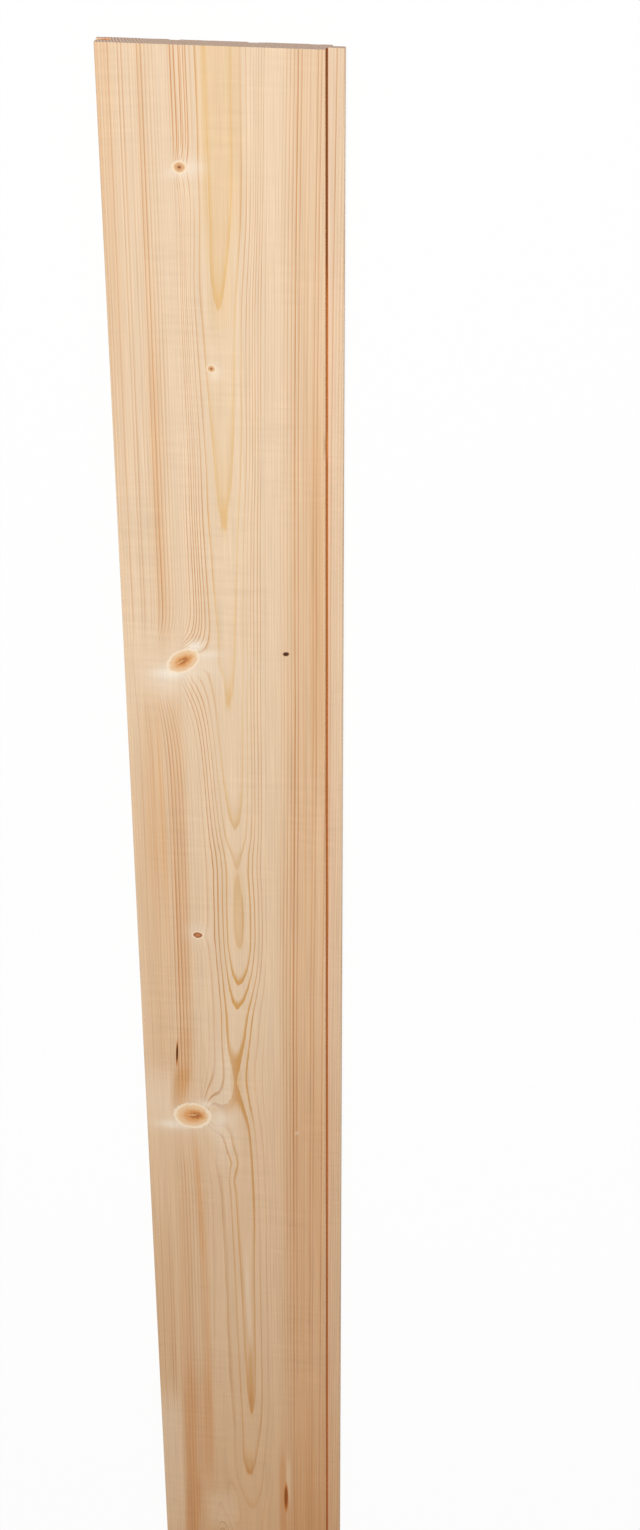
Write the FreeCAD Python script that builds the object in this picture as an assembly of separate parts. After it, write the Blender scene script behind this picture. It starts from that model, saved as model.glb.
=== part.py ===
import FreeCAD, Part
import math
import os

# A tongue and groove panel board: one length of planed softwood, with a slot along one edge and a
# tongue along the other. The face shoulder beside the tongue is set back, which leaves a narrow
# shadow gap beside the face once the tongue is home in a slot.
# It lies on its back, with its length along X, its tongue towards +Y and its face up.
# The origin is the middle of the back. All sizes are in millimetres.

# The whole board
board_length = 2000.0
face_width = 134.5

# Through the thickness, from the face down: a lip, the slot, and a thinner lip
front_lip = 5.1
slot_height = 4.6
back_lip = 2.8

# Across the width, beyond the two edges of the face
back_lip_lead = 1.0
shadow_gap = 2.5
tongue_reach = 8.0

# How loosely the tongue fits a slot of this profile
tongue_side_clearance = 0.2
tongue_end_clearance = 1.3

# Edges as the moulding cutters leave them
face_arris = 0.4
back_arris = 0.6
slot_mouth_round = 0.4
tongue_tip_round = 0.8
cutter_corner_round = 0.3

# Shallow channels in the back that keep the board from cupping
channel_count = 2
channel_floor = 5.0
channel_flare = 1.0
channel_depth = 1.5
channel_round = 0.8

# What follows from the sizes above
thickness = front_lip + slot_height + back_lip
cover_width = back_lip_lead + face_width + shadow_gap
overall_width = cover_width + tongue_reach
slot_depth = tongue_reach + tongue_end_clearance

# Places across the width, from the slot edge to the tongue edge
back_lip_edge = -overall_width / 2
front_lip_edge = back_lip_edge + back_lip_lead
slot_bottom_wall = back_lip_edge + slot_depth
back_shoulder = back_lip_edge + cover_width
front_shoulder = back_shoulder - shadow_gap
tongue_tip = back_shoulder + tongue_reach

# Heights above the back
slot_low = back_lip
slot_high = back_lip + slot_height
tongue_low = slot_low + tongue_side_clearance
tongue_high = slot_high - tongue_side_clearance


def back_channels():
    """Return the outline corners (y, z, radius) of the channels, in order across the back."""
    pitch = cover_width / (channel_count + 1)
    corners = []
    for number in range(1, channel_count + 1):
        middle = back_lip_edge + number * pitch
        half_floor = channel_floor / 2
        half_mouth = half_floor + channel_flare
        corners.append((middle - half_mouth, 0.0, 0.0))
        corners.append((middle - half_floor, channel_depth, channel_round))
        corners.append((middle + half_floor, channel_depth, channel_round))
        corners.append((middle + half_mouth, 0.0, 0.0))
    return corners


def board_corners():
    """Return the corners (y, z, radius) of the board's section, once round from the back lip."""
    back = [
        (back_lip_edge, 0.0, back_arris),
        *back_channels(),
        (back_shoulder, 0.0, back_arris),
    ]
    tongue = [
        (back_shoulder, tongue_low, cutter_corner_round),
        (tongue_tip, tongue_low, tongue_tip_round),
        (tongue_tip, tongue_high, tongue_tip_round),
        (front_shoulder, tongue_high, cutter_corner_round),
    ]
    face = [
        (front_shoulder, thickness, face_arris),
        (front_lip_edge, thickness, face_arris),
    ]
    slot = [
        (front_lip_edge, slot_high, slot_mouth_round),
        (slot_bottom_wall, slot_high, cutter_corner_round),
        (slot_bottom_wall, slot_low, cutter_corner_round),
        (back_lip_edge, slot_low, slot_mouth_round),
    ]
    return back + tongue + face + slot


def rounded_corner(before, corner, after, radius):
    """Return the start, middle and end of the arc that rounds a corner between two straight runs."""
    to_before = (before - corner).normalize()
    to_after = (after - corner).normalize()
    half_angle = to_before.getAngle(to_after) / 2
    bisector = (to_before + to_after).normalize()
    run_off = radius / math.tan(half_angle)
    centre = corner + bisector * (radius / math.sin(half_angle))
    start = corner + to_before * run_off
    middle = centre - bisector * radius
    end = corner + to_after * run_off
    return start, middle, end


def outline(corners, x):
    """Return the closed wire through the corners (y, z, radius), in the plane at the given x."""
    points = [FreeCAD.Vector(x, y, z) for y, z, radius in corners]
    arcs = []
    for index, (y, z, radius) in enumerate(corners):
        before = points[index - 1]
        after = points[(index + 1) % len(points)]
        if radius > 0:
            arcs.append(rounded_corner(before, points[index], after, radius))
        else:
            arcs.append((points[index], None, points[index]))
    edges = []
    for index, (start, middle, end) in enumerate(arcs):
        next_start = arcs[(index + 1) % len(arcs)][0]
        if middle is not None:
            edges.append(Part.Arc(start, middle, end).toShape())
        edges.append(Part.LineSegment(end, next_start).toShape())
    return Part.Wire(edges)


def make_board():
    """Return the board: its section, carried straight along the whole length."""
    section = Part.Face(outline(board_corners(), -board_length / 2))
    return section.extrude(FreeCAD.Vector(board_length, 0, 0))


os.makedirs("parts", exist_ok=True)
board = make_board()
board.exportStep("parts/board.step")
print("board", board.isValid(), board.ShapeType, round(board.Volume / 1000.0, 1), "cm3")
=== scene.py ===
"""A planed spruce board with a tongue and a slot, lying face up on a pale floor.

The board is one mesh: its section carried along the length and closed by two sawn ends. Each point
of it knows where it lay in the log, so the growth rings, the knots and the resin pockets run through
the wood and meet at its edges and ends. Sizes are in millimetres unless a name says otherwise.
"""

import logging
import math
from dataclasses import dataclass
from enum import Enum

import bmesh
import bpy
import numpy as np
from mathutils import Matrix, Vector, geometry


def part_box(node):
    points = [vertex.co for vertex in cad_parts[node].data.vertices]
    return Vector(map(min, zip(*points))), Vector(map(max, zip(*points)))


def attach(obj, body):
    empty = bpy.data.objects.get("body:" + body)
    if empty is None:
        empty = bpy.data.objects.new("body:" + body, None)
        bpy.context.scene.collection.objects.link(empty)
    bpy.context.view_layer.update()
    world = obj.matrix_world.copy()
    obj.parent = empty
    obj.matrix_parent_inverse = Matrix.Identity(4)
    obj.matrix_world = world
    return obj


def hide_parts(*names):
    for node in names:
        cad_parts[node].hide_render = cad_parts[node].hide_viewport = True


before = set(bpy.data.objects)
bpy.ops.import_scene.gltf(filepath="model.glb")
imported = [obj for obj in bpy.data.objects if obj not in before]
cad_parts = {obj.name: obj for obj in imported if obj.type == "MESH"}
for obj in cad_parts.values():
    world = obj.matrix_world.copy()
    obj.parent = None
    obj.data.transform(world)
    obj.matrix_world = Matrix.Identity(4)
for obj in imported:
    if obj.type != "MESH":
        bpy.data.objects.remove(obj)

LOG = logging.getLogger("board")
MM = 0.001
NODE = "board"

Array = np.ndarray
Node = bpy.types.Node
Curve = tuple[tuple[float, float], ...]
Place = tuple[float, float, float]


# Small helpers


def linear(colour: str) -> tuple[float, float, float, float]:
    """Turn an sRGB hex colour into the linear one that a shader takes.

    Args:
        colour: Six hex digits, such as "e8d0a8".

    Returns:
        Red, green, blue and alpha, each from 0 to 1.
    """
    parts = (int(colour[i:i + 2], 16) / 255 for i in (0, 2, 4))
    return (*(c / 12.92 if c <= 0.04045 else ((c + 0.055) / 1.055) ** 2.4 for c in parts), 1.0)


def smooth_curve(places: Array, points: Curve) -> Array:
    """Read a smooth curve through a few points, flat at each high and low point.

    Between two points it is a cubic whose slopes at both are the weighted means of the chords
    beside them.

    Args:
        places: Where the curve is read.
        points: Place and height of each point, in order.

    Returns:
        The curve's height at each place.
    """
    at, height = np.asarray(points, float).T
    step = np.diff(at)
    rise = np.diff(height) / step
    inner = (rise[:-1] * step[1:] + rise[1:] * step[:-1]) / (step[:-1] + step[1:])
    inner[rise[:-1] * rise[1:] <= 0] = 0
    slope = np.concatenate([rise[:1], inner, rise[-1:]])
    x = np.clip(places, at[0], at[-1])
    cell = np.clip(np.searchsorted(at, x, side="right") - 1, 0, len(step) - 1)
    width = step[cell]
    t = (x - at[cell]) / width
    start = (1 + 2 * t) * (1 - t) ** 2 * height[cell] + t * (1 - t) ** 2 * width * slope[cell]
    end = t ** 2 * (3 - 2 * t) * height[cell + 1] - t ** 2 * (1 - t) * width * slope[cell + 1]
    return start + end


def turned(u: Array, v: Array, degrees: float) -> tuple[Array, Array]:
    """Turn distances along and across the face by an angle.

    Args:
        u: Distances along.
        v: Distances across.
        degrees: The angle, from along towards across.

    Returns:
        The turned distances along and across.
    """
    cos, sin = math.cos(math.radians(degrees)), math.sin(math.radians(degrees))
    return u * cos - v * sin, u * sin + v * cos


def inside(points: Array, rim: Array) -> Array:
    """Tell which points lie inside a closed outline: a line from each to one side crosses it an odd
    number of times.

    Args:
        points: The points, as rows of two numbers.
        rim: The outline's points in order.

    Returns:
        True for each point inside.
    """
    ahead = np.roll(rim, -1, axis=0)
    y, z = points[:, 0, None], points[:, 1, None]
    rise = ahead[:, 1] - rim[:, 1]
    slope = (ahead[:, 0] - rim[:, 0]) / np.where(rise == 0, 1, rise)
    level = (rim[:, 1] > z) != (ahead[:, 1] > z)
    crossed = level & (y < rim[:, 0] + (z - rim[:, 1]) * slope)
    return crossed.sum(axis=1) % 2 == 1


@dataclass(frozen=True)
class Spot:
    """A stretch of a row or column of the mesh that needs its points close together."""

    middle: float
    half: float
    step: float


def stations(
    end: float, coarse: float, spots: list[Spot], growth: float = 0.2, samples: int = 8001
) -> Array:
    """Place points from 0 to an end, close together at the spots and wider apart away from them.

    The step at a place is the coarse one or, if less, a spot's own plus a share of the distance.

    Args:
        end: The last point.
        coarse: The widest step.
        spots: Where the step is finer.
        growth: The share of the distance.
        samples: How many places the steps are summed over.

    Returns:
        The points in order, both ends included.
    """
    fine = np.linspace(0, end, samples)
    step = np.full_like(fine, coarse)
    for spot in spots:
        gap = np.clip(np.abs(fine - spot.middle) - spot.half, 0, None)
        step = np.minimum(step, spot.step + growth * gap)
    count = np.concatenate([[0], np.cumsum(np.diff(fine) / step[1:])])
    return np.interp(np.linspace(0, count[-1], math.ceil(count[-1]) + 1), count, fine)


# The wood


@dataclass(frozen=True)
class KnotLook:
    """What a kind of knot shows from its heart outwards.

    colours lists distances, in shares of the knot's own size, and the colour there. Beyond fade the
    knot's collar gives way to the wood, and at reach it is gone.
    """

    colours: tuple[tuple[float, str], ...]
    fade: float
    reach: float


class KnotKind(Enum):
    """How a knot sits in the wood, and so what it shows."""

    SOUND = KnotLook(
        ((0, "e2a56e"), (0.45, "e6ad78"), (0.7, "ecc090"), (0.92, "efcaa0"), (1.01, "f8debc"),
         (1.12, "fdead2")), 1.05, 1.22)
    PIN = KnotLook(
        ((0, "80401c"), (0.28, "a4663a"), (0.45, "cd9662"), (0.65, "dcaa78"), (0.88, "d6a272"),
         (1.05, "e7bf92"), (1.3, "f4d8b4"), (1.6, "f8e2c4")), 1.3, 1.9)
    DEAD = KnotLook(
        ((0, "c98450"), (0.45, "bd7646"), (0.75, "a1633c"), (0.9, "a1633c"), (1, "e2ba92"),
         (1.15, "f8dcbc")), 1.1, 1.5)
    BLACK = KnotLook(((0, "351606"), (0.5, "4a220c"), (0.8, "7e4e2c"), (1, "c09068")), 0.85, 1.15)


@dataclass(frozen=True)
class Knot:
    """A branch cut by the face: an ellipse at a place along and across the face.

    With no tilt its length lies across the board. heart is how far its dark middle lies off centre
    and heart_size how far that reaches, both in half lengths.
    """

    along: float
    across: float
    half_length: float
    half_width: float
    tilt: float
    kind: KnotKind
    heart: float = 0.0
    heart_size: float = 0.6


@dataclass(frozen=True)
class Pocket:
    """A resin pocket cut open by the face: a slit pointed at both ends."""

    along: float
    across: float
    half_length: float
    half_width: float
    tilt: float
    depth: float
    resin: str


@dataclass(frozen=True)
class Influence:
    """What has a strength at a place on the face and fades away from it."""

    along: float
    across: float
    strength: float

    def weight(self, along: Array, across: Array) -> Array:
        """Work out how strong it is: its strength times exp(-fall), with the fall of its own kind.

        Args:
            along: Places along the board.
            across: Places across the face.

        Returns:
            The strength at each place.
        """
        fall = self.fall(along - self.along, across - self.across)
        return self.strength * np.exp(-np.minimum(fall, 60))


@dataclass(frozen=True)
class Swirl(Influence):
    """A place where the growth layers swell towards the face, as they do beside a knot.

    It falls by u^1.5 + v^2, where u and v are the distances along and across, each in a reach of
    its own: before and after the place along the board, and low and high across the face.
    """

    before: float
    after: float
    low: float
    high: float

    def fall(self, u: Array, v: Array) -> Array:
        """Give the fall at distances along and across."""
        u = np.abs(u) / np.where(u < 0, self.before, self.after)
        return u ** 1.5 + (v / np.where(v < 0, self.low, self.high)) ** 2


@dataclass(frozen=True)
class SoftSpot(Influence):
    """A soft-edged ellipse lying on the face, where the wood differs.

    It falls by u^firm + v^firm, where u and v are the distances in half lengths and half widths: a
    firm of 2 is soft all the way, and 6 is flat with a quick edge. drift is how far its middle line
    moves across the face in each millimetre along it.
    """

    half_length: float
    half_width: float
    firm: float = 2.0
    drift: float = 0.0

    def fall(self, u: Array, v: Array) -> Array:
        """Give the fall at distances along and across."""
        v = np.abs(v - self.drift * u) / self.half_width
        return (np.abs(u) / self.half_length) ** self.firm + v ** self.firm


def soft_spots(*rows: tuple[float, ...]) -> tuple[SoftSpot, ...]:
    """Make soft spots of rows of their numbers."""
    return tuple(SoftSpot(*row) for row in rows)


# Where the wood is redder, tanner or paler, and its late wood bolder or, below 0, fainter
STAINS = {
    "red": soft_spots(
        (130, 126, 0.35, 330, 12, 4, -0.01), (350, 131, 0.5, 140, 7, 4),
        (900, 121, 0.68, 560, 19, 4, -0.006), (1600, 118, 0.7, 420, 20, 4), (-40, 3, 0.45, 300, 8, 4),
        (60, 26, 0.4, 90, 2.5, 4), (25, 44.5, 1, 42, 0.6, 4, 0.015), (25, 46.7, 1, 42, 0.6, 4, 0.015),
        (25, 49.9, 0.8, 42, 0.8, 4, 0.01), (25, 52.6, 0.7, 42, 0.7, 4, 0.01),
        (270, 27, 0.55, 112, 4.5, 4), (500, 17.5, 0.5, 85, 7, 4), (575, 33, 0.65, 165, 5.5, 4),
        (620, 14, 0.45, 160, 13, 4), (755, 26, 1.1, 20, 5.6, 4, -0.15), (720, 30.3, 0.45, 22, 5, 4, -0.1),
        (850, 37.2, 0.8, 58, 2.1, 4, 0.03), (985, 39.5, 0.6, 150, 3.8, 4),
        (1000, 24, 0.45, 190, 6, 4, -0.01), (960, 8, 0.4, 90, 8, 4), (1105, 24, 0.65, 62, 4, 4, -0.02),
        (1100, 35, 0.6, 62, 6, 4), (1205, 22, 1, 50, 6, 4, -0.08), (1650, 25, 0.55, 480, 14, 4, 0.004),
        (1178, 98.8, 1.5, 54, 2.4, 4)),
    "tan": soft_spots(
        (20, 73.2, 0.5, 92, 12.4, 8), (137, 70.5, 0.42, 36, 8, 4), (245, 70, 0.2, 60, 7, 4),
        (20, 63, 0.45, 90, 1, 4), (294, 69.5, 0.5, 12, 2.4, 4), (426, 69.5, 0.4, 8, 2.8, 4),
        (590, 73, 0.45, 33, 3.6, 4), (741, 68, 0.9, 22, 3.4, 4), (1042, 74.2, 1, 36, 1.5, 4),
        (1134, 71.5, 0.6, 14, 3, 4), (755, 26, 0.6, 20, 5.6, 4, -0.15), (769, 52, 1.7, 2.6, 3.2),
        (789, 58, 1.5, 4, 3), (780, 8, 0.5, 9, 9), (389, 55, 0.5, 2.4, 4)),
    "pale": soft_spots(
        (1150, 103.8, 0.3, 24, 2, 4), (1150, 7, 0.42, 84, 10, 8), (1192, 48, 0.3, 20, 12, 4),
        (70, 55, 0.45, 5, 9), (74, 46, 0.4, 3, 7), (407.5, 30, 0.8, 4.2, 11, 2, -0.35),
        (415, 28, 0.35, 11, 13), (386, 48, 1, 3.4, 5, 2, -0.6), (391, 57, 0.5, 3, 8, 2, -0.8),
        (400, 50, 0.3, 14, 24), (788, 22, 0.8, 4, 14, 2, -0.5), (766, 45, 0.7, 3, 6, 2, 0.5),
        (783, 54, 0.4, 14, 9), (779, 30, 0.3, 19, 30), (768, 60, 0.3, 60, 9, 4), (613, 43, 0.35, 8, 8),
        (765, 9, 0.3, 30, 13, 4), (785, 113, 0.7, 1.4, 1), (196, 66, 0.4, 5, 4),
        (955, 73.5, 0.35, 44, 1.8, 4, 0.02)),
    "bold": soft_spots(
        (25, 51.5, 2, 44, 9.5, 6), (25, 48.2, -3, 60, 0.7, 4, 0.012), (25, 51, -3, 60, 0.6, 4, 0.012),
        (25, 55.4, -2.6, 60, 1.6, 4, 0.012), (20, 92, -0.45, 62, 9, 4), (330, 50, 1.2, 62, 11, 4),
        (130, 119, 0.2, 160, 4, 4), (575, 60, 2, 45, 6, 4), (580, 80, 1.4, 42, 4, 4),
        (706, 70, 1.3, 64, 11, 6), (590, 73, -0.4, 36, 6, 4), (800, 75.3, 1.5, 90, 3.2, 4, 0.045),
        (850, 83.2, -0.65, 120, 2.4, 4, 0.008), (735, 76.5, -0.5, 34, 1.8, 4),
        (752, 49, 1.5, 14, 8, 4, -0.4), (800, 63, 1.2, 36, 5, 4, 0.15), (808, 47, -0.8, 22, 9, 4),
        (590, 34, 0.6, 160, 6, 4), (402, 50, -1.4, 9, 6, 2, -0.3), (1066, 49, -1, 30, 4, 4),
        (600, 8, -0.6, 230, 13, 4), (650, 104, 0.9, 100, 5, 4, -0.01),
        (640, 112.3, 0.9, 200, 2.4, 4, -0.012), (402, 24, -0.7, 30, 18, 4), (785, 20, -0.7, 34, 22, 4),
        (1130, 110, -0.5, 110, 30, 4), (900, 12, -0.5, 130, 18, 4), (1150, 20, -0.5, 100, 30, 4),
        (180, 8, -0.2, 200, 14, 4)),
}


@dataclass(frozen=True)
class Log:
    """The part of the log that the board was sawn from.

    The rings are circles round the pith, which lies under the middle of the face and comes nearer
    to it towards the board's start. middle_rings says which ring touches the middle of the face at
    each place along it: a whole number there is the point of one pointed arch of the grain. Beyond
    middle_reach the rings turn, within middle_fade, to those of a steadier pith, given by
    steady_line and steady_depth. rings lists each ring's outer radius and how dark its late wood is.
    skin is how far under the face knots, pockets and stains keep straight down before they turn
    towards the pith. Within about knot_reach of a knot they narrow along the board too.
    """

    length: float
    thickness: float
    skin: float = 1.3
    knot_reach: float = 25.0
    middle_reach: float = 12.0
    middle_fade: float = 20.0
    rings: Curve = (
        (27.6, 0.9), (29.1, 0.9), (31.1, 0.95), (32.6, 0.75), (33.9, 0.75), (34.8, 0.75),
        (35.75, 0.9), (36.5, 0.9), (37.6, 0.9), (38.5, 0.9), (40.2, 0.4), (41.4, 0.25),
        (42.6, 0.22), (44, 0.3), (45.4, 0.2), (46.9, 0.35), (48.5, 0.45), (50.3, 0.5),
        (52.2, 0.5), (54.1, 1), (56, 0.6), (57.2, 0.25), (58.5, 0.35), (60.4, 0.4),
        (62.2, 0.15), (64.2, 0.7), (66, 0.65), (67.8, 0.2), (69.5, 0.15), (71.4, 0.8),
        (73.3, 0.25), (75.2, 0.4))
    inner_width: float = 1.5
    ring_width: float = 1.9
    ring_spread: float = 0.35
    narrowest_ring: float = 1.1
    widest_ring: float = 2.6
    ring_count: int = 40
    seed: int = 5
    middle_rings: Curve = (
        (-30, 0.1), (0, 0.2), (100, 0.48), (140, 0.77), (158, 1), (195, 1.28), (252, 1.65), (303, 2),
        (352, 2.42), (431, 3), (503, 3.62), (528, 4), (555, 4.99), (590, 4.78), (625, 4.98),
        (656, 6), (677, 7), (702, 7.4), (741, 7.975), (792, 7.38), (852, 7.32), (930, 7.58),
        (1010, 7.72), (1079, 8), (1149, 9), (1187, 10), (1245, 11), (1400, 12.2),
        (1600, 13.5), (1800, 15.2), (2030, 17))
    middle_line: Curve = (
        (-30, 72), (0, 72), (100, 71.5), (154, 69), (250, 70), (300, 69), (428, 70), (525, 72),
        (588, 73), (654, 72), (675, 70.5), (738, 68), (790, 71), (850, 73), (925, 73.5),
        (1000, 74), (1070, 74.5), (1145, 71.5), (1182, 73), (1400, 71), (1700, 68), (2030, 70))
    steady_line: Curve = (
        (-30, 73.4), (0, 73.2), (120, 72.1), (330, 71), (450, 71.3), (680, 69.8), (1000, 67.8),
        (1200, 66), (1600, 65), (2030, 66))
    steady_depth: Curve = (
        (-30, 27.4), (0, 27.9), (120, 29.9), (330, 31.4), (560, 33.6), (700, 34.3), (1000, 34.2),
        (1200, 33.4), (1600, 32), (2030, 30))
    knots: tuple[Knot, ...] = (
        Knot(70.5, 47.9, 2.9, 2.5, 0, KnotKind.PIN),
        Knot(194, 63.8, 1.9, 1.7, 0, KnotKind.PIN),
        Knot(397.8, 39.7, 11, 6.7, 35, KnotKind.SOUND, 0.03, 0.85),
        Knot(387.3, 108.4, 2.3, 1.6, 10, KnotKind.BLACK),
        Knot(615.4, 43.3, 3.3, 2.3, 5, KnotKind.DEAD),
        Knot(778, 34.6, 12.4, 10.2, 8, KnotKind.SOUND, 0.18, 0.95),
        Knot(1225, 52, 9, 7, 12, KnotKind.SOUND, 0.1),
        Knot(1530, 92, 8, 6, -10, KnotKind.SOUND, -0.1),
        Knot(1790, 38, 3, 2.2, 0, KnotKind.PIN))
    swirls: tuple[Swirl, ...] = (
        Swirl(70.5, 49, 0.12, 10, 10, 4, 9), Swirl(194, 64.5, 0.25, 9, 9, 2.3, 5),
        Swirl(398.5, 43.3, 0.8, 15, 9, 13, 20), Swirl(398.5, 43.3, 0.5, 15, 36, 22, 18),
        Swirl(615.4, 44.5, 0.1, 9, 9, 3.6, 8), Swirl(776, 55, 0.85, 25, 15, 12, 13),
        Swirl(776, 52, 0.4, 12, 34, 20, 13), Swirl(1225, 55.6, 0.9, 22, 20, 11, 22),
        Swirl(1530, 88, 0.9, 20, 18, 20, 11), Swirl(1790, 39, 0.1, 9, 9, 4, 9))
    kinks: tuple[SoftSpot, ...] = soft_spots((819, 66, 3, 12, 6), (834, 66, -1.5, 8, 5))
    pockets: tuple[Pocket, ...] = (
        Pocket(721.5, 24.9, 9.3, 0.68, 3, 1, "5a3812"), Pocket(1169, 101.4, 13.2, 1.45, 0.5, 1, "9a5218"))

    def radii(self) -> tuple[Array, Array]:
        """Work out the radius of each ring's outer edge.

        The rings that the face shows have the radii of the list, those inside them are even, and
        those outside them wander about the usual width.

        Returns:
            The radii, and the number of the ring at each.
        """
        listed = np.array(self.rings)[:, 0]
        wander = np.random.default_rng(self.seed).standard_normal(self.ring_count)
        widths = np.clip(self.ring_width + self.ring_spread * wander, self.narrowest_ring, self.widest_ring)
        inner_count = int(listed[0] / self.inner_width)
        inner = listed[0] - np.arange(inner_count, 0, -1) * self.inner_width
        radii = np.concatenate([inner, listed, listed[-1] + np.cumsum(widths)])
        return radii, np.arange(len(radii)) - float(inner_count)

    def pith(self, along: Array, across: Array) -> tuple[Array, Array]:
        """Find the pith that the rings at a place are circles round.

        Args:
            along: Places along the board.
            across: Places across the face.

        Returns:
            The pith's place across the face, and its depth under the face.
        """
        radii, numbers = self.radii()
        middle = smooth_curve(along, self.middle_line)
        depth = np.interp(smooth_curve(along, self.middle_rings), numbers, radii)
        share = np.clip((np.abs(across - middle) - self.middle_reach) / self.middle_fade, 0, 1)
        share = share * share * (3 - 2 * share)
        middle = middle + share * (smooth_curve(along, self.steady_line) - middle)
        return middle, depth + share * (smooth_curve(along, self.steady_depth) - depth)

    def look(self, along: Array, across: Array, height: Array) -> dict[str, Array]:
        """Say what the wood is at each point.

        Where the layers swell, the point is pulled towards the middle plane before its distance
        from the pith is taken, which has the same effect.

        Args:
            along: Place along the board from its start.
            across: Place across the face from its slot edge.
            height: Height above the back.

        Returns:
            ring: the ring's number and how far through its year the point is.
            girth: the distance from the pith.
            branch: where the line from the pith through the point meets the face.
            red, tan, pale: how strong each stain is.
            bold: how strong the late wood is, 1 where it is as usual.
        """
        middle, depth = self.pith(along, across)
        rise = height - self.thickness + depth
        cast = depth / (depth - np.clip(self.thickness - height - self.skin, 0, None))
        across_face = middle + (across - middle) * cast
        along_face = along.copy()
        for kink in self.kinks:
            across = across - kink.weight(along, across_face)
        for knot in self.knots:
            away = along - knot.along
            along_face += away * (cast - 1) * np.exp(-(away / self.knot_reach) ** 2)
        swell = np.zeros_like(rise)
        for swirl in self.swirls:
            swell = np.maximum(swell, swirl.weight(along_face, across_face))
        girth = np.hypot((across - middle) * (1 - swell), rise)
        branch = np.stack([along_face, across_face, np.zeros_like(rise)], axis=-1)
        wood = {"ring": np.interp(girth, *self.radii()), "girth": girth, "branch": branch}
        for name, spots in STAINS.items():
            total = sum((spot.weight(along, across_face) for spot in spots), np.zeros_like(rise))
            wood[name] = np.clip(total, -1, 2)
        wood["bold"] += 1
        return wood


# The board


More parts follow.
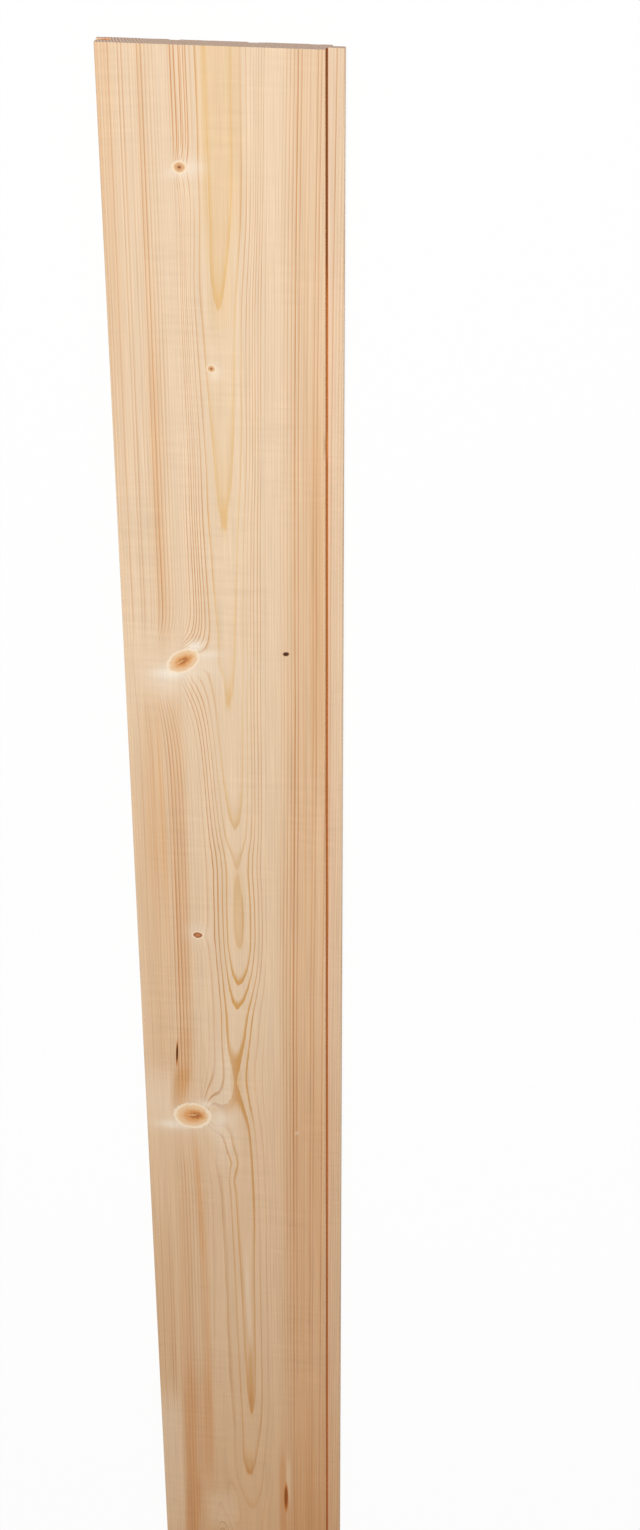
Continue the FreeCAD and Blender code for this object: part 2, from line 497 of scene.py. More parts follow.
@dataclass
class Board:
    """One board, from its section and the log it came out of.

    A row of the mesh is one section of it, and a column runs along it.
    """

    length: float
    width: float
    thickness: float
    front_lip: float = 5.1
    slot_height: float = 4.6
    back_lip_lead: float = 1.0
    shadow_gap: float = 2.5
    tongue_reach: float = 8.0
    side_clearance: float = 0.2
    end_clearance: float = 1.3
    face_arris: float = 0.4
    back_arris: float = 0.6
    slot_mouth_round: float = 0.4
    tongue_tip_round: float = 0.8
    cutter_corner_round: float = 0.3
    channel_count: int = 2
    channel_floor: float = 5.0
    channel_flare: float = 1.0
    channel_depth: float = 1.5
    channel_round: float = 0.8
    chip_along: float = 241.0
    chip_half_length: float = 11.0
    chip_depth: float = 0.9
    chip_reach: float = 1.3
    chip_lean: float = 0.6
    shrink_depth: float = 0.12
    shrink_width: float = 0.12
    # brown, brown_start, brown_fade and slot_brown set the painted shade on the shoulder and in the slot;
    # fresh and painted_light_fade set the painted light on the tongue's top beside the shoulder
    brown: float = 1.9
    brown_start: float = 150.0
    brown_fade: float = 30.0
    slot_brown: float = 0.5
    painted_light: float = 0.45
    painted_light_fade: float = 1.6
    row_step: float = 14.0
    end_row: float = 0.5
    knot_step: float = 2.0
    chip_step: float = 1.4
    face_step: float = 1.3
    fine_column: float = 0.4
    line_column: float = 0.6
    tongue_column: float = 0.3
    side_step: float = 5.0
    end_step: float = 1.1
    arc_turn: float = 30.0
    smooth_turn: float = 38.0
    weld_gap: float = 0.005
    tear: float = 0.3
    tear_waves: tuple[float, ...] = (31, 17, 11, 7)
    tear_from: float = 0.35
    face_tear: float = 0.25
    seed: int = 3

    def __post_init__(self) -> None:
        """Work out the section's places across from the board's middle, and its heights."""
        self.tip = self.width / 2
        self.slot_edge = -self.width / 2 + self.back_lip_lead
        self.slot_wall = -self.width / 2 + self.tongue_reach + self.end_clearance
        self.back_shoulder = self.tip - self.tongue_reach
        self.shoulder = self.back_shoulder - self.shadow_gap
        self.slot_high = self.thickness - self.front_lip
        self.slot_low = self.slot_high - self.slot_height
        self.tongue_high = self.slot_high - self.side_clearance
        self.tongue_low = self.slot_low + self.side_clearance

    def corners(self) -> list[tuple[float, float, float]]:
        """List the section's corners once round, from the back lip's lower one.

        Returns:
            Place across, height and rounding radius of each corner.
        """
        channels = []
        for number in range(1, self.channel_count + 1):
            middle = number * (self.back_shoulder + self.tip) / (self.channel_count + 1) - self.tip
            floor = self.channel_floor / 2
            mouth = floor + self.channel_flare
            channels += [
                (middle - mouth, 0, 0),
                (middle - floor, self.channel_depth, self.channel_round),
                (middle + floor, self.channel_depth, self.channel_round),
                (middle + mouth, 0, 0)]
        return [
            (-self.tip, 0, self.back_arris),
            *channels,
            (self.back_shoulder, 0, self.back_arris),
            (self.back_shoulder, self.tongue_low, self.cutter_corner_round),
            (self.tip, self.tongue_low, self.tongue_tip_round),
            (self.tip, self.tongue_high, self.tongue_tip_round),
            (self.shoulder, self.tongue_high, self.cutter_corner_round),
            (self.shoulder, self.thickness, self.face_arris),
            (self.slot_edge, self.thickness, self.face_arris),
            (self.slot_edge, self.slot_high, self.slot_mouth_round),
            (self.slot_wall, self.slot_high, self.cutter_corner_round),
            (self.slot_wall, self.slot_low, self.cutter_corner_round),
            (-self.tip, self.slot_low, self.slot_mouth_round)]

    def arc(self, before: Array, corner: Array, after: Array, radius: float) -> Array:
        """Round one corner between two straight runs.

        The points lie on a circle that touches both runs, turned about its centre by equal steps.

        Args:
            before: The corner before this one.
            corner: The corner.
            after: The corner after it.
            radius: The circle's radius, or 0 for a sharp corner.

        Returns:
            The points from the first run to the second.
        """
        if radius == 0:
            return corner[None, :]
        back, on = ((p - corner) / np.linalg.norm(p - corner) for p in (before, after))
        half = math.acos(float(back @ on)) / 2
        bisector = (back + on) / np.linalg.norm(back + on)
        centre = corner + bisector * radius / math.sin(half)
        sweep = math.pi - 2 * half
        turns = np.linspace(-sweep / 2, sweep / 2, max(3, round(math.degrees(sweep) / self.arc_turn) + 1))
        side = 1 if back[0] * on[1] - back[1] * on[0] < 0 else -1
        out = -bisector * radius
        cos, sin = np.cos(turns * side), np.sin(turns * side)
        return centre + np.stack([out[0] * cos - out[1] * sin, out[0] * sin + out[1] * cos], axis=-1)

    def outline(self, log: Log) -> Array:
        """Walk once round the section.

        Args:
            log: The wood, for the places on the face that need fine columns.

        Returns:
            Place across and height of each point, in order.
        """
        corners = self.corners()
        at = np.array([[y, z] for y, z, _ in corners])
        count = len(at)
        arcs = [self.arc(at[i - 1], at[i], at[(i + 1) % count], corners[i][2]) for i in range(count)]
        runs = []
        for i, bend in enumerate(arcs):
            start, end = bend[-1], arcs[(i + 1) % count][0]
            span = float(np.linalg.norm(end - start))
            level = min(start[1], end[1])
            if level > self.thickness - self.face_arris / 2:
                # The face, fine at the pockets, at the thinnest lines and at the shoulder
                fine = [(p.across, 1.6 * p.half_width, self.fine_column) for p in log.pockets]
                lines = STAINS["red"] + STAINS["bold"]
                fine += [(s.across, s.half_width, self.line_column) for s in lines if s.half_width < 1]
                spots = [Spot(abs(start[0] - self.slot_edge - y), half, step) for y, half, step in fine]
                spots.append(Spot(0, 1, self.fine_column))
                shares = stations(span, self.face_step, spots) / span
            elif abs(level - self.tongue_high) < 0.01 and end[0] < start[0]:
                # The tongue's top, fine beside the shoulder
                shares = stations(span, self.side_step, [Spot(span, 1.2, self.tongue_column)]) / span
            else:
                shares = np.linspace(0, 1, max(1, math.ceil(span / self.side_step)) + 1)
            runs += [bend, start + (end - start) * shares[1:-1, None]]
        return np.concatenate(runs)

    def rows(self, log: Log) -> Array:
        """Place the mesh's rows, close together at the ends, the knots, the pockets and the chip.

        Args:
            log: The wood.

        Returns:
            The rows' places along, in order.
        """
        spots = [Spot(k.along, 1.3 * k.half_length, self.knot_step) for k in log.knots]
        spots += [Spot(p.along, p.half_length, self.knot_step) for p in log.pockets]
        spots += [Spot(end, self.end_row, self.end_row) for end in (0, self.length)]
        spots.append(Spot(self.chip_along, self.chip_half_length, self.chip_step))
        return stations(self.length, self.row_step, spots)

    def sink(self, along: Array, across: Array, log: Log) -> Array:
        """Work out how far the face lies under its plane.

        A pocket is a trough with a rounded floor, whose width and depth both fall to nothing at
        its points. A knot's rim is a shallow ring where the knot has shrunk from the wood.

        Args:
            along: Place along the board from its start.
            across: Place across the face from its slot edge.
            log: The wood.

        Returns:
            The depth at each point.
        """
        depth = np.zeros_like(along)
        for pocket in log.pockets:
            u, v = turned(along - pocket.along, across - pocket.across, pocket.tilt)
            taper = np.clip(1 - (u / pocket.half_length) ** 2, 0, None)
            share = np.clip(1 - (v / (pocket.half_width * taper + 1e-6)) ** 2, 0, None)
            depth = np.maximum(depth, pocket.depth * np.sqrt(taper) * share)
        for knot in log.knots:
            u, v = turned(along - knot.along, across - knot.across, -knot.tilt)
            near = np.hypot(v / knot.half_length, u / knot.half_width)
            depth = np.maximum(depth, self.shrink_depth * np.exp(-((near - 1) / self.shrink_width) ** 2))
        return depth

    def torn(self, section: Array) -> Array:
        """Work out how far the saw has torn the fibres out of an end's edge.

        It is a sum of waves round the section with chance phases, of which only the crests count,
        full on the back, where the saw's teeth left the wood, and slight on the face.

        Args:
            section: Place across and height of each point, in order.

        Returns:
            The depth at each point.
        """
        chance = np.random.default_rng(self.seed)
        along_rim = np.cumsum(np.hypot(*np.diff(section, axis=0, append=section[:1]).T))
        waves = sum(np.sin(along_rim * 6.283 / size + chance.uniform(0, 6.283)) for size in self.tear_waves)
        crest = np.clip(waves / 2 - self.tear_from, 0, 1)
        back, face = section[:, 1] < 1, section[:, 1] > self.thickness - 0.6
        return self.tear * crest * np.where(back, 1, np.where(face, self.face_tear, 0))

    def sweep(self, log: Log) -> tuple[Array, Array]:
        """Carry the section along the length.

        A point is the section's point at one place along, lowered by the face's sink, and drawn in
        at the shoulder where the edge is chipped: there the chip's depth falls to both of its ends
        as one minus the square of the distance, and evenly away from the edge. The two end rows lie
        back where the saw has torn them.

        Args:
            log: The wood.

        Returns:
            Points as rows by section points by 3, and quads as indices into them in order.
        """
        section = self.outline(log)
        along, y = np.meshgrid(self.rows(log), section[:, 0], indexing="ij")
        z = np.broadcast_to(section[:, 1], along.shape).copy()
        top = z > self.thickness - 1e-6
        z -= np.where(top, self.sink(along, y - self.slot_edge, log), 0)
        for row, inwards in ((0, 1), (-1, -1)):
            along[row] += inwards * self.torn(section)
        worn = np.clip(1 - ((along - self.chip_along) / self.chip_half_length) ** 2, 0, 1)
        from_edge = np.hypot(y - self.shoulder, z - self.thickness)
        bite = self.chip_depth * worn * np.clip(1 - from_edge / self.chip_reach, 0, 1)
        points = np.stack([along - self.length / 2, y - self.chip_lean * bite, z - bite], axis=-1)
        index = np.arange(along.size).reshape(along.shape)
        here, there = index[:-1], index[1:]
        quads = np.stack([here, np.roll(here, -1, 1), np.roll(there, -1, 1), there], axis=-1)
        return points, quads.reshape(-1, 4)

    def sawn_end(self, ring: Array, facing: int) -> tuple[Array, Array]:
        """Close one end with a flat net of triangles.

        The net's points are the section's own and, inside it, those of an even grid, shifted by
        half a step in every other row. Triangles outside the section are left out.

        Args:
            ring: The end's points, in order round the section.
            facing: -1 for the start and 1 for the far end.

        Returns:
            The net's points and its triangles.
        """
        rim = ring[:, 1:]
        step = self.end_step
        ys = np.arange(rim[:, 0].min(), rim[:, 0].max(), step)
        zs = np.arange(rim[:, 1].min() + step / 2, rim[:, 1].max(), step)
        grid_y, grid_z = np.meshgrid(ys, zs)
        grid_y = grid_y + (np.arange(len(zs)) % 2)[:, None] * step / 2
        grid = np.stack([grid_y.ravel(), grid_z.ravel()], axis=-1)
        away = np.min(np.linalg.norm(grid[:, None] - rim[None], axis=-1), axis=1)
        places = np.concatenate([rim, grid[(away > 0.45 * step) & inside(grid, rim)]])
        count = len(rim)
        edges = [(i, (i + 1) % count) for i in range(count)]
        flat = [Vector(p) for p in places.tolist()]
        _, _, triangles, *_ = geometry.delaunay_2d_cdt(flat, edges, [], 1, 1e-7, False)
        faces = np.array(triangles)
        faces = faces[inside(places[faces].mean(axis=1), rim)]
        along = np.full(len(places), facing * self.length / 2)
        along[:count] = ring[:, 0]
        return np.column_stack([along, places]), faces[:, ::facing]

    def build(self, log: Log) -> bpy.types.Object:
        """Make the board's mesh and write on each point what wood it is.

        Args:
            log: The wood.

        Returns:
            The board's object.
        """
        points, faces = self.sweep(log)
        vertices, faces = [points.reshape(-1, 3)], faces.tolist()
        for row, facing in ((0, -1), (-1, 1)):
            places, triangles = self.sawn_end(points[row], facing)
            faces += (triangles + sum(map(len, vertices))).tolist()
            vertices.append(places)
        mesh = bpy.data.meshes.new("spruce_board")
        mesh.from_pydata(np.concatenate(vertices) * MM, [], faces)
        self.weld(mesh)
        self.mark(mesh, log)
        board = bpy.data.objects.new("spruce_board", mesh)
        bpy.context.scene.collection.objects.link(board)
        triangles = sum(len(polygon.vertices) - 2 for polygon in mesh.polygons)
        LOG.info("%s: %d rows of %d points, %d triangles", board.name, *points.shape[:2], triangles)
        return board

    def weld(self, mesh: bpy.types.Mesh) -> None:
        """Join the ends to the sides where their points coincide, and smooth across the small rounds.

        Args:
            mesh: The board's mesh, in metres.
        """
        work = bmesh.new()
        work.from_mesh(mesh)
        bmesh.ops.remove_doubles(work, verts=work.verts, dist=self.weld_gap * MM)
        work.to_mesh(mesh)
        work.free()
        mesh.polygons.foreach_set("use_smooth", np.ones(len(mesh.polygons), bool))
        mesh.set_sharp_from_angle(angle=math.radians(self.smooth_turn))

    def painted_shading(self, along: Array, y: Array, z: Array) -> tuple[Array, Array]:
        """Say where shade and light are painted onto the wood's colour.

        The shoulder beside the tongue gets painted shade, deepest near the start. The inside of the slot
        gets a little painted shade. The tongue's top gets painted light beside the shoulder, fading to
        the usual colour.

        Args:
            along: Place along the board from its start.
            y: Place across from the board's middle.
            z: Height above the back.

        Returns:
            How deep the painted shade is at each point, from 0 to 2, and how strong the painted light, from
            0 to 1.
        """
        # Painted shade on the shoulder wall and in the slot, and painted light on the tongue's top beside
        # the shoulder
        below = np.clip((self.thickness - 0.15 - z) / 0.5, 0, 1)
        away = np.clip(y - self.shoulder - 0.25, 0, None)
        outside = (y > self.shoulder - 0.02) & (z > self.tongue_high - 0.05)
        start = np.clip((self.brown_start - along) / self.brown_fade, 0, 1)
        brown = below * (1 + start) * np.clip(self.brown - 0.5 * start - away / 0.5, 0, 1) * outside
        slot = (y > 1.5 - self.tip) & (y < self.slot_wall + 0.1)
        slot &= (z > self.slot_low - 0.1) & (z < self.slot_high + 0.1)
        pale = self.painted_light * np.exp(-away / self.painted_light_fade) * outside * (z < self.tongue_high + 0.2)
        return np.maximum(brown, self.slot_brown * slot), pale

    def mark(self, mesh: bpy.types.Mesh, log: Log) -> None:
        """Write the wood's attributes on the points, and the sawn finish on the end faces.

        Args:
            mesh: The board's mesh, in metres.
            log: The wood.
        """
        flat = np.empty(len(mesh.vertices) * 3)
        mesh.vertices.foreach_get("co", flat)
        x, y, z = flat.reshape(-1, 3).T / MM
        along = x + self.length / 2
        wood = log.look(along, y - self.slot_edge, z)
        # Painted shade for the shoulder and slot, and painted light for the tongue's top, which joins the
        # pale stains
        wood["painted_shading"], painted_light = self.painted_shading(along, y, z)
        wood["pale"] = np.maximum(wood["pale"], painted_light)
        branch = mesh.attributes.new("branch", "FLOAT_VECTOR", "POINT")
        branch.data.foreach_set("vector", wood.pop("branch").astype(np.float32).ravel())
        for name, values in wood.items():
            layer = mesh.attributes.new(name, "FLOAT", "POINT")
            layer.data.foreach_set("value", values.astype(np.float32))
        normals = np.empty(len(mesh.polygons) * 3)
        mesh.polygons.foreach_get("normal", normals)
        ends = (np.abs(normals.reshape(-1, 3)[:, 0]) > 0.9).astype(np.int32)
        mesh.polygons.foreach_set("material_index", ends)


# The finishes


@dataclass
class Finish:
    """A material or a world that is built from nodes."""

    owner: bpy.types.Material | bpy.types.World

    def __post_init__(self) -> None:
        """Start from an empty tree."""
        self.owner.use_nodes = True
        self.tree = self.owner.node_tree
        self.tree.nodes.clear()

    def add(self, kind: str, inputs: dict | tuple = (), operation: str = "", **settings) -> Node:
        """Add a node, set it up and link it.

        Args:
            kind: The node's type without its first part, such as "Math".
            inputs: What goes into its sockets, in their order or by name or number: a value, a hex
                colour, another node's output, or another node, which gives its first output in
                use. A Mix node that gets something in socket 6 mixes colours.
            operation: What it does, for a node that does sums. An empty one leaves it adding.
            settings: Its other properties. stops is a list of (place, colour) for a colour ramp.

        Returns:
            The new node.
        """
        node = self.tree.nodes.new("ShaderNode" + kind)
        sockets = inputs if isinstance(inputs, dict) else dict(enumerate(inputs))
        if kind == "Mix" and 6 in sockets:
            node.data_type = "RGBA"
        if operation:
            node.operation = operation
        stops = settings.pop("stops", None)
        for name, value in settings.items():
            setattr(node, name, value)
        if stops:
            ramp = node.color_ramp
            while len(ramp.elements) < len(stops):
                ramp.elements.new(0.5)
            for element, (place, colour) in zip(ramp.elements, stops):
                element.position = place
                element.color = linear(colour) if isinstance(colour, str) else (colour, colour, colour, 1.0)
        for name, value in sockets.items():
            socket = node.inputs[name]
            if isinstance(value, Node):
                value = next(output for output in value.outputs if output.enabled)
            if isinstance(value, bpy.types.NodeSocket):
                self.tree.links.new(value, socket)
            else:
                socket.default_value = linear(value) if isinstance(value, str) else value
        return node


@dataclass
class PlanedSpruce(Finish):
    """Spruce, planed and left bare.

    The planer's knives leave a flat, faintly silky surface: pale early wood, thin reddish brown
    late wood that ends sharply at each year's edge, fine streaks along the fibres and, where the
    grain waves, a faint ripple across them.

    The late wood has colours of its own within arch_reach of arch_line, where the face shows the
    grain's arches. From wide_from on, counted from the pith, it takes up more of each year.
    """

    log: Log
    arch_line: float = 71.0
    arch_reach: tuple[float, float] = (8.0, 16.0)
    wide_from: tuple[float, float] = (44.0, 50.0)
    # Each _far colour is the one at the far end, reached through the ramp along the length: partly the
    # wood's own warmer tone, partly painted shade for the light falling off along the board
    early: str = "ebcfae"
    early_far: str = "d8ac80"
    late: str = "faeccb"
    late_between: str = "ecd8b6"
    late_mid: str = "e9ca90"
    late_far: str = "ecd2a6"
    late_outer: str = "e0b88a"
    late_outer_far: str = "cfb496"
    red: str = "f7e4ce"
    tan: str = "f6e8c4"
    halo: str = "f7e8d4"
    halo_far: str = "ecd0ae"
    # Tints of the painted shade at the shoulder and in the slot; the second is used where the shade is
    # deepest
    shade_tint: str = "e99c42"
    deep_shade_tint: str = "a89f6d"
    heart: str = "98440c"
    heart_edge: str = "dc9448"
    crack: str = "f0be88"
    resin_edge: str = "c4762c"

    def __post_init__(self) -> None:
        """Add what the finish's parts share: places, the wood's attributes and small noise."""
        super().__post_init__()
        self.place = self.add("TexCoord").outputs["Object"]
        self.branch = self.add("Attribute", attribute_name="branch").outputs["Vector"]
        self.along, self.across, _ = self.add("SeparateXYZ", (self.branch,)).outputs
        self.share = self.add("Math", (self.along, 1 / self.log.length), "MULTIPLY")
        self.wood = {
            name: self.add("Attribute", attribute_name=name).outputs["Fac"]
            for name in ("ring", "girth", "painted_shading", *STAINS)}
        uneven = self.add("TexNoise", {"Vector": self.place, "Scale": 1 / (2.5 * MM), "Detail": 3})
        self.edge = self.add("MapRange", (uneven, 0, 1, -0.16, 0.16))
        self.specks = self.add("TexNoise", {"Vector": self.place, "Scale": 1 / (0.9 * MM), "Detail": 2})

    def grain(self, along: float, across: float, detail: float = 2.0) -> Node:
        """Add noise that is drawn out along the fibres.

        Args:
            along: Its size along the fibres, in mm.
            across: Its size across them, in mm.
            detail: How many finer layers it has.

        Returns:
            The noise.
        """
        scale = (1 / (along * MM), 1 / (across * MM), 1 / (across * MM))
        drawn_out = self.add("Mapping", {0: self.place, 3: scale})
        return self.add("TexNoise", {"Vector": drawn_out, "Scale": 1, "Detail": detail})

    def late_wood(self) -> Node:
        """Work out how much late wood shows: it darkens through the year and stops at its edge.

        Returns:
            The amount, from 0 to 1.
        """
        wobble = self.add("MapRange", (self.grain(26, 2.2), 0, 1, -0.07, 0.07))
        year = self.add("Math", (self.wood["ring"], wobble))
        share = self.add("Math", (year,), "FRACT")
        number = self.add("Math", (year,), "FLOOR")
        thin = self.add("ValToRGB", (share,), stops=(
            (0, 0), (0.62, 0), (0.8, 0.4), (0.9, 0.95), (0.97, 1), (1, 0)))
        wide = self.add("ValToRGB", (share,), stops=(
            (0, 0), (0.3, 0.04), (0.62, 0.35), (0.84, 0.95), (0.96, 1), (1, 0.1)))
        outer = self.add("MapRange", (self.wood["girth"], *self.wide_from))
        amount = self.add("Mix", {0: outer, 2: thin, 3: wide})
        count = len(self.log.rings)
        listed = self.add("Math", (number, 1 / count, 2 / count), "MULTIPLY_ADD")
        strength = self.add("ValToRGB", (listed,), stops=[
            ((i + 0.5) / count, dark) for i, (_, dark) in enumerate(self.log.rings)])
        strength.color_ramp.interpolation = "CONSTANT"
        chance = self.add("TexWhiteNoise", {"W": number}, noise_dimensions="1D")
        luck = self.add("MapRange", (chance, 0, 1, 0.85, 1.15))
        patchy = self.add("MapRange", (self.grain(160, 9), 0.3, 0.7, 0.75, 1.25))
        for factor in (strength, luck, patchy, self.wood["bold"]):
            amount = self.add("Math", (amount, factor), "MULTIPLY")
        return self.add("Math", (amount, 1), "MINIMUM")

    def years(self, late_amount: Node, far_tone_and_shade: Node) -> Node:
        """Colour the early wood with its stains, and the late wood as a darker share of it.

        Args:
            late_amount: How much late wood shows.
            far_tone_and_shade: How far each colour has moved from its start colour to its far one: partly
                the wood's own warmer tone, partly painted shade for the light falling off along the board.

        Returns:
            The colour.
        """
        early = self.add("Mix", {0: far_tone_and_shade, 6: self.early, 7: self.early_far})
        bands = self.add("MapRange", (self.grain(300, 2.6), 0.3, 0.7, 0.6, 1.35))
        red = self.add("Math", (self.wood["red"], bands), "MULTIPLY")
        for stain, tint in ((red, self.red), (self.wood["tan"], self.tan)):
            early = self.add("Mix", {0: stain, 6: early, 7: tint}, blend_type="MULTIPLY")
        middle = self.add("ValToRGB", (self.share,), stops=(
            (0, self.late), (0.22, self.late), (0.28, self.late_between), (0.325, self.late_mid),
            (0.39, self.late_mid), (0.44, self.late_far)))
        aside = self.add("Math", (self.across, self.arch_line), "SUBTRACT")
        aside = self.add("Math", (aside,), "ABSOLUTE")
        aside = self.add("MapRange", (aside, *self.arch_reach))
        outer = self.add("Mix", {0: far_tone_and_shade, 6: self.late_outer, 7: self.late_outer_far})
        late = self.add("Mix", {0: aside, 6: middle, 7: outer})
        return self.add("Mix", {0: late_amount, 6: early, 7: late}, blend_type="MULTIPLY")

    def knots(self, colour: Node) -> Node:
        """Paint each knot: its wood, the cracked dark heart of a sound one, and its pale collar.

        Args:
            colour: The wood's colour without knots.

        Returns:
            The colour with them.
        """
        for knot in self.log.knots:
            look = knot.kind.value
            local = self.add("Mapping", (
                self.branch, (knot.along, knot.across, 0), (0, 0, math.radians(knot.tilt)),
                (knot.half_width, knot.half_length, 1)), vector_type="TEXTURE")
            near = self.add("VectorMath", (local,), "LENGTH")
            near = self.add("Math", (near, self.edge))
            share = self.add("Math", (near, 1 / look.reach), "MULTIPLY")
            body = self.add("ValToRGB", (share,), stops=[
                (distance / look.reach, shade)
                for distance, shade in look.colours if distance <= look.reach])
            if knot.kind is KnotKind.SOUND:
                body = self.heartwood(knot, local, body)
            cover = self.add(
                "MapRange", (near, look.fade, look.reach, 1, 0), interpolation_type="SMOOTHSTEP")
            colour = self.add("Mix", {0: cover, 6: colour, 7: body})
        return colour

    def heartwood(self, knot: Knot, local: Node, body: Node) -> Node:
        """Paint a sound knot's heart, darkest at its own middle, and a pale crack along the knot.

        Args:
            knot: The knot.
            local: The place in the knot, in half sizes, its length second.
            body: The colour of the knot without its heart.

        Returns:
            The colour with it.
        """
        from_heart = self.add("VectorMath", (local, (0, knot.heart, 0)), "SUBTRACT")
        core = self.add("VectorMath", (from_heart, (1.35, 1, 1)), "MULTIPLY")
        core = self.add("VectorMath", (core,), "LENGTH")
        core = self.add("Math", (self.edge, 1.3, core), "MULTIPLY_ADD")
        core = self.add("Math", (core, 1 / knot.heart_size), "MULTIPLY")
        core = self.add("Math", (self.specks, 0.8, core), "MULTIPLY_ADD")
        inner = self.add("MapRange", (core, 0.5, 1, 0.85, 0))
        outer = self.add("MapRange", (core, 0.7, 1.35, 0.9, 0), interpolation_type="SMOOTHSTEP")
        shade = self.add("Mix", {0: inner, 6: self.heart_edge, 7: self.heart})
        body = self.add("Mix", {0: outer, 6: body, 7: shade})
        side, end, _ = self.add("SeparateXYZ", (from_heart,)).outputs
        side = self.add("Math", (self.edge, 0.9, side), "MULTIPLY_ADD")
        off_line, off_end = (
            self.add("Math", (self.add("Math", (place, shift)),), "ABSOLUTE")
            for place, shift in ((side, 0.06), (end, 0.2)))
        crack = self.add("MapRange", (off_line, 0.03, 0.11, 0.75, 0))
        reach = self.add("MapRange", (off_end, 0.15, 0.4, 1, 0))
        crack = self.add("Math", (crack, reach), "MULTIPLY")
        return self.add("Mix", {0: crack, 6: body, 7: self.crack})

    def pockets(self, colour: Node) -> Node:
        """Paint the dark resin in each pocket and the wood that it has stained beside it.

        Args:
            colour: The wood's colour without pockets.

        Returns:
            The colour with them.
        """
        for pocket in self.log.pockets:
            local = self.add("Mapping", (
                self.branch, (pocket.along, pocket.across, 0), (0, 0, math.radians(-pocket.tilt)),
                (pocket.half_length, pocket.half_width, 1)), vector_type="TEXTURE")
            near = self.add("VectorMath", (local,), "LENGTH")
            rim = self.add("MapRange", (near, 0.6, 1.05, 0, 1))
            resin = self.add("Mix", {0: rim, 6: pocket.resin, 7: self.resin_edge})
            cover = self.add("MapRange", (near, 0.9, 1.6, 1, 0), interpolation_type="SMOOTHSTEP")
            colour = self.add("Mix", {0: cover, 6: colour, 7: resin})
        return colour

    def build(self) -> bpy.types.Material:
        """Join the finish's parts.

        Returns:
            The material.
        """
        # Darker and warmer along the length: partly the wood's own warmer tone, partly painted shade for
        # the light falling off along the board
        far_tone_and_shade = self.add("ValToRGB", (self.share,), stops=(
            (0, 0), (0.14, 0), (0.23, 0.09), (0.3, 0.22), (0.345, 0.24), (0.39, 0.5), (0.45, 0.56),
            (0.5, 0.62), (0.535, 0.75), (0.6, 1), (0.8, 0.85), (1, 0.6)))
        late_amount = self.late_wood()
        colour = self.years(late_amount, far_tone_and_shade)
        halo = self.add("Mix", {0: far_tone_and_shade, 6: self.halo, 7: self.halo_far})
        colour = self.add("Mix", {0: self.wood["pale"], 6: colour, 7: halo})

        # Fine streaks along the fibres. Real fibres are 0.03 mm wide, too fine to show, so these are
        # 0.5 mm. Over them lie slow stains and, in places, a ripple across the fibres
        fibre = self.grain(55, 0.5, 3)
        ripple = self.add("MapRange", (self.grain(3.2, 30, 1), 0, 1, -0.5, 0.5))
        rippled = self.add("MapRange", (self.grain(70, 40), 0.45, 0.62))
        ripple = self.add("Math", (ripple, rippled), "MULTIPLY")
        tone = self.add("MapRange", (fibre, 0, 1, 0.8, 1.2))
        stain = self.add("MapRange", (self.grain(220, 5, 3), 0, 1, 0.92, 1.08))
        tone = self.add("Math", (tone, stain), "MULTIPLY")
        tone = self.add("Math", (ripple, 0.14, tone), "MULTIPLY_ADD")
        colour = self.add("Mix", {0: 1, 6: colour, 7: tone}, blend_type="MULTIPLY")
        colour = self.pockets(self.knots(colour))
        # Painted shade: the shoulder beside the tongue and the inside of the slot are darkened, and
        # darkened further where the amount passes one, near the start
        painted_shading = self.wood["painted_shading"]
        past_one = self.add("Math", (painted_shading, 1), "SUBTRACT")
        for brown, tint in ((painted_shading, self.shade_tint), (past_one, self.deep_shade_tint)):
            colour = self.add("Mix", {0: brown, 6: colour, 7: tint}, blend_type="MULTIPLY")

        relief = self.add("Math", (fibre, 0.5, ripple), "MULTIPLY_ADD")
        relief = self.add("Math", (late_amount, 0.2, relief), "MULTIPLY_ADD")
        bump = self.add("Bump", {"Height": relief, "Distance": 0.05 * MM, "Strength": 0.6})
        roughness = self.add("MapRange", (fibre, 0, 1, 0.5, 0.65))
        shader = self.add("BsdfPrincipled", {
            "Base Color": colour, "Roughness": roughness, "IOR": 1.5, "Normal": bump})
        self.add("OutputMaterial", {"Surface": shader})
        return self.owner


@dataclass
class SawnSpruceEnd(Finish):
    """The board's ends, cross-cut by a saw: open fibre ends that look darker and greyer, with the
    years as arcs and faint saw lines across them."""

    early: str = "d8bfae"
    late: str = "a57f62"
    line_spacing: float = 1.3

    def build(self) -> bpy.types.Material:
        """Build the ends' finish.

        Returns:
            The material.
        """
        place = self.add("TexCoord").outputs["Object"]
        ring = self.add("Attribute", attribute_name="ring").outputs["Fac"]
        share = self.add("Math", (ring,), "FRACT")
        profile = self.add("ValToRGB", (share,), stops=((0, 0), (0.4, 0.1), (0.85, 0.9), (0.95, 1), (1, 0)))
        years = self.add("Mix", {0: profile, 6: self.early, 7: self.late})
        pores = self.add("TexNoise", {"Vector": place, "Scale": 1 / (0.35 * MM), "Detail": 2})
        tone = self.add("MapRange", (pores, 0, 1, 0.75, 1.25))
        colour = self.add("Mix", {0: 1, 6: years, 7: tone}, blend_type="MULTIPLY")
        # A wave texture repeats every 2 pi / 20 units of its scaled place
        lines = self.add("TexWave", {
            "Vector": place, "Scale": 2 * math.pi / 20 / (self.line_spacing * MM), "Distortion": 1.5},
            bands_direction="Y").outputs["Fac"]
        rough = self.add("Math", (lines, 0.4, pores), "MULTIPLY_ADD")
        bump = self.add("Bump", {"Height": rough, "Distance": 0.12 * MM, "Strength": 0.7})
        shader = self.add("BsdfPrincipled", {"Base Color": colour, "Roughness": 0.8, "Normal": bump})
        self.add("OutputMaterial", {"Surface": shader})
        return self.owner


# The studio


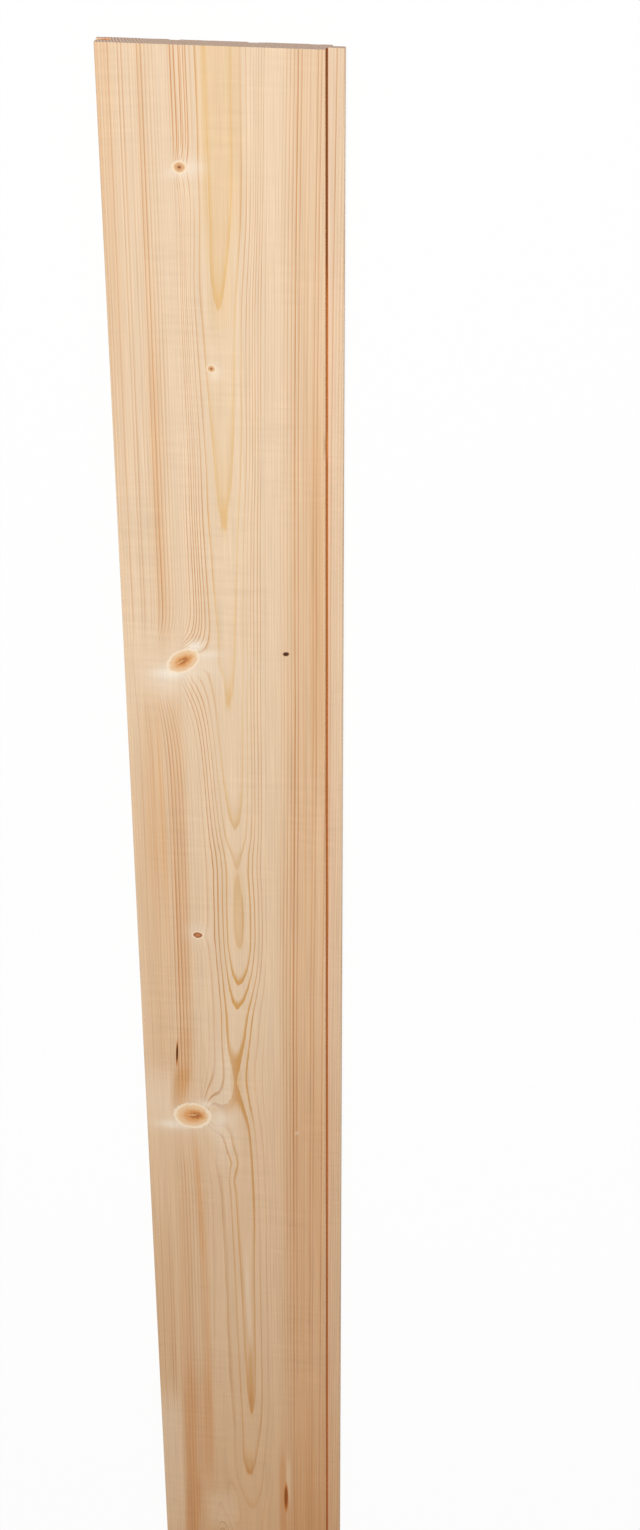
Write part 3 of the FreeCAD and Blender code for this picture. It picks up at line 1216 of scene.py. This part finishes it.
@dataclass(frozen=True)
class Studio:
    """A pale floor, a soft lamp in an even sky, and the camera that looks down on the board.

    The floor's and the lamp's sizes and places are in metres. floor_white is how much of what the
    camera sees of the floor is plain white, out to pale_within, and all of it is from white_from on.
    """

    camera_place: Place = (-1313.4, 263.6, 1334.4)
    camera_aim: Place = (-531.1, 58.7, 12.5)
    camera_roll: float = -0.104
    picture_height: int = 1530
    focal_pixels: float = 2320.7
    sensor: float = 36.0
    floor_colour: str = "f6f6f4"
    floor_white: float = 0.93
    floor_reach: float = 30.0
    pale_within: float = 1.5
    white_from: float = 8.0
    lamp_place: Place = (-1.5, -0.1, 2.4)
    lamp_aim: Place = (-0.6, 0.0, 0.0)
    lamp_size: float = 0.5
    lamp_watts: float = 43.0
    sky: float = 0.365

    def camera(self) -> None:
        """Place the camera so that the board's start is at the top of the picture."""
        place, aim = Vector(self.camera_place), Vector(self.camera_aim)
        forward = (aim - place).normalized()
        right = forward.cross(Vector((-1, 0, 0))).normalized()
        turn = Matrix((right, right.cross(forward), -forward)).transposed()
        turn = turn @ Matrix.Rotation(math.radians(self.camera_roll), 3, "Z")
        data = bpy.data.cameras.new("camera")
        data.sensor_fit = "VERTICAL"
        data.sensor_height = self.sensor
        data.lens = self.sensor * (self.focal_pixels / self.picture_height)
        camera = bpy.data.objects.new("camera", data)
        camera.matrix_world = Matrix.Translation(place * MM) @ turn.to_4x4()
        bpy.context.scene.collection.objects.link(camera)
        bpy.context.scene.camera = camera

    def floor(self) -> None:
        """Lay the floor: a plain pale sheet that shows nearly white, so that it keeps the board's
        shadow, and quite white far from the board, so that its own edge doesn't show."""
        far = self.floor_reach
        mesh = bpy.data.meshes.new("floor")
        corners = (-far, -far, 0), (far, -far, 0), (far, far, 0), (-far, far, 0)
        mesh.from_pydata(corners, [], [(0, 1, 2, 3)])
        floor = bpy.data.objects.new("floor", mesh)
        bpy.context.scene.collection.objects.link(floor)
        paint = Finish(bpy.data.materials.new("pale_floor"))
        rays = paint.add("LightPath").outputs["Is Camera Ray"]
        place = paint.add("TexCoord").outputs["Object"]
        away = paint.add("VectorMath", (place,), "LENGTH")
        away = paint.add("MapRange", (away, self.pale_within, self.white_from, self.floor_white, 1))
        share = paint.add("Math", (rays, away), "MULTIPLY")
        plain = paint.add("BsdfDiffuse", (self.floor_colour,))
        white = paint.add("Emission", ("ffffff", 1))
        both = paint.add("MixShader", (share, plain, white))
        paint.add("OutputMaterial", {"Surface": both})
        mesh.materials.append(paint.owner)

    def light(self) -> None:
        """Light the board: a soft square lamp over its start on the slot side, and an even sky."""
        data = bpy.data.lights.new("key", "AREA")
        data.shape = "SQUARE"
        data.size = self.lamp_size
        data.energy = self.lamp_watts
        lamp = bpy.data.objects.new("key", data)
        lamp.location = self.lamp_place
        aim = Vector(self.lamp_aim) - Vector(self.lamp_place)
        lamp.rotation_euler = aim.to_track_quat("-Z", "Y").to_euler()
        bpy.context.scene.collection.objects.link(lamp)
        world = bpy.data.worlds.new("studio")
        bpy.context.scene.world = world
        sky = Finish(world)
        rays = sky.add("LightPath").outputs["Is Camera Ray"]
        seen = sky.add("Background", ("ffffff", 1))
        fill = sky.add("Background", ("ffffff", self.sky))
        sky.add("OutputWorld", {"Surface": sky.add("MixShader", (rays, fill, seen))})
        bpy.context.scene.view_settings.view_transform = "Standard"


def main() -> None:
    """Build the board, dress it and light it, and report each piece."""
    logging.basicConfig(level=logging.INFO, format="%(name)s: %(message)s")
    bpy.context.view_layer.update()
    low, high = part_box(NODE)
    board = Board(*((b - a) / MM for a, b in zip(low, high)))
    log = Log(board.length, board.thickness)
    piece = board.build(log)
    piece.data.materials.append(PlanedSpruce(bpy.data.materials.new("planed_spruce"), log).build())
    piece.data.materials.append(SawnSpruceEnd(bpy.data.materials.new("sawn_spruce_end")).build())
    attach(piece, "root")
    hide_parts(NODE)
    studio = Studio()
    studio.floor()
    studio.light()
    studio.camera()


if __name__ == "__main__":
    main()
